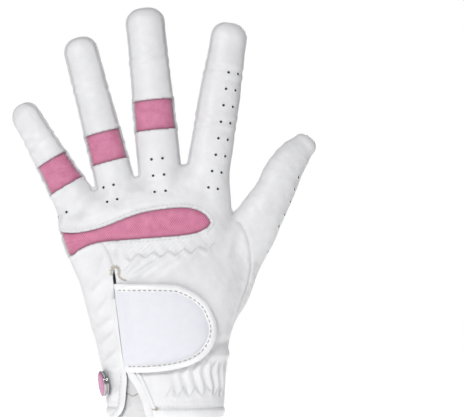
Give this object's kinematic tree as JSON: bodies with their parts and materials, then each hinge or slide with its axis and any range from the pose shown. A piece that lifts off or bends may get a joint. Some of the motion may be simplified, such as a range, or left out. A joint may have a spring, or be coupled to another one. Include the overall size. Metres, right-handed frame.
{
  "type": "golf glove",
  "caption": "Left-hand golf glove with bending fingers and thumb, knuckle fold, stretch inserts, wrist tab that opens and a pull-off ball marker on a snap.",
  "frame": {"origin": "centre of the cuff opening, in the plane of the hem", "axes": "+Z from the cuff to the fingertips, +X to the thumb side, +Y out of the palm (the back of the hand faces -Y)"},
  "size_m": [0.1524, 0.0457, 0.2059],
  "materials": {
    "back_leather": "soft satin",
    "palm_leather": "soft satin",
    "patch_leather": "soft satin",
    "edge_leather": "satin",
    "fourchette_leather": "satin",
    "gloss_binding": "glossy",
    "pink_rib_stretch": "ribbed",
    "pink_insert": "woven",
    "elastic": "woven",
    "loop_fabric": "brushed loop",
    "hook_fabric": "moulded hooks",
    "tab_fabric": "smooth woven",
    "snap_metal": "bright",
    "chrome_cup": "polished",
    "pink_enamel": "glossy enamel"
  },
  "bodies": {
    "hand": {"back_panel": "back_leather", "palm_panel": "palm_leather", "knuckle_stretch_panel": "pink_rib_stretch", "thumb_panel": "palm_leather", "heel_patch": "patch_leather", "wrist_elastic_palm": "elastic", "wrist_elastic_back": "elastic", "knuckle_elastic": "elastic", "cuff_hem": "edge_leather", "placket": "back_leather", "slit_binding_left": "edge_leather", "slit_binding_right": "edge_leather", "loop_patch": "loop_fabric", "snap_stud": "snap_metal", "snap_backing": "snap_metal"},
    "knuckles": {"upper_back": "back_leather", "upper_palm": "palm_leather", "middle_flex_insert": "pink_insert", "ring_flex_insert": "pink_insert", "little_flex_insert": "pink_insert"},
    "index_middle": {"index_middle_back": "back_leather", "index_middle_palm": "palm_leather", "index_fourchettes": "fourchette_leather"},
    "index_tip": {"index_tip_back": "back_leather", "index_tip_palm": "palm_leather"},
    "middle_middle": {"middle_middle_back": "back_leather", "middle_middle_palm": "palm_leather", "middle_fourchettes": "fourchette_leather"},
    "middle_tip": {"middle_tip_back": "back_leather", "middle_tip_palm": "palm_leather"},
    "ring_middle": {"ring_middle_back": "back_leather", "ring_middle_palm": "palm_leather", "ring_fourchettes": "fourchette_leather"},
    "ring_tip": {"ring_tip_back": "back_leather", "ring_tip_palm": "palm_leather"},
    "little_middle": {"little_middle_back": "back_leather", "little_middle_palm": "palm_leather", "little_fourchettes": "fourchette_leather"},
    "little_tip": {"little_tip_back": "back_leather", "little_tip_palm": "palm_leather"},
    "thumb_middle": {"thumb_middle_back": "back_leather", "thumb_middle_palm": "palm_leather"},
    "thumb_tip": {"thumb_tip_back": "back_leather", "thumb_tip_palm": "palm_leather"},
    "tab": {"closure_tab": "tab_fabric", "tab_binding": "gloss_binding", "tab_hook_pad": "hook_fabric"},
    "marker": {"marker_socket": "snap_metal", "marker_cup": "chrome_cup", "marker_face": "pink_enamel"}
  },
  "joints": [
    {"name": "knuckle_fold", "type": "hinge", "parent": "hand", "child": "knuckles", "pos_m": [-0.0035, 0.014, 0.1055], "axis": [-0.9888, 0, -0.1495], "range_deg": [0, 80]},
    {"name": "index_bend", "type": "hinge", "parent": "knuckles", "child": "index_middle", "pos_m": [0.02497, 0.01228, 0.14612], "axis": [-0.9882, 0, 0.153], "range_deg": [0, 90]},
    {"name": "index_tip_bend", "type": "hinge", "parent": "index_middle", "child": "index_tip", "pos_m": [0.02894, 0.01344, 0.1718], "axis": [-0.9882, 0, 0.153], "range_deg": [0, 55]},
    {"name": "middle_bend", "type": "hinge", "parent": "knuckles", "child": "middle_middle", "pos_m": [-0.00549, 0.01259, 0.15028], "axis": [-0.9951, 0, -0.0993], "range_deg": [0, 90]},
    {"name": "middle_tip_bend", "type": "hinge", "parent": "middle_middle", "child": "middle_tip", "pos_m": [-0.00827, 0.01404, 0.17811], "axis": [-0.9951, 0, -0.0993], "range_deg": [0, 55]},
    {"name": "ring_bend", "type": "hinge", "parent": "knuckles", "child": "ring_middle", "pos_m": [-0.02965, 0.01105, 0.1343], "axis": [-0.9668, 0, -0.2554], "range_deg": [0, 90]},
    {"name": "ring_tip_bend", "type": "hinge", "parent": "ring_middle", "child": "ring_tip", "pos_m": [-0.03748, 0.01272, 0.16395], "axis": [-0.9668, 0, -0.2554], "range_deg": [0, 55]},
    {"name": "little_bend", "type": "hinge", "parent": "knuckles", "child": "little_middle", "pos_m": [-0.0531, 0.01144, 0.12158], "axis": [-0.8634, 0, -0.5045], "range_deg": [0, 85]},
    {"name": "little_tip_bend", "type": "hinge", "parent": "little_middle", "child": "little_tip", "pos_m": [-0.06269, 0.01186, 0.138], "axis": [-0.8634, 0, -0.5045], "range_deg": [0, 55]},
    {"name": "thumb_bend", "type": "hinge", "parent": "hand", "child": "thumb_middle", "pos_m": [0.04729, 0.01886, 0.09855], "axis": [-0.9455, 0, 0.3256], "range_deg": [0, 45]},
    {"name": "thumb_tip_bend", "type": "hinge", "parent": "thumb_middle", "child": "thumb_tip", "pos_m": [0.05738, 0.0219, 0.11821], "axis": [-0.9272, 0, 0.3746], "range_deg": [0, 60]},
    {"name": "tab_open", "type": "hinge", "parent": "hand", "child": "tab", "pos_m": [-0.02, -0.01784, 0.0225], "axis": [0.127, -0.0087, -0.9919], "range_deg": [0, 115]},
    {"name": "marker_pull", "type": "slide", "parent": "hand", "child": "marker", "axis": [-0.95, -0.286, -0.125], "range_m": [0, 0.012]}
  ],
  "couplings": [
    {"joint": "index_tip_bend", "follows": "index_bend", "ratio": 0.6},
    {"joint": "middle_tip_bend", "follows": "middle_bend", "ratio": 0.6},
    {"joint": "ring_tip_bend", "follows": "ring_bend", "ratio": 0.6},
    {"joint": "little_tip_bend", "follows": "little_bend", "ratio": 0.6}
  ]
}
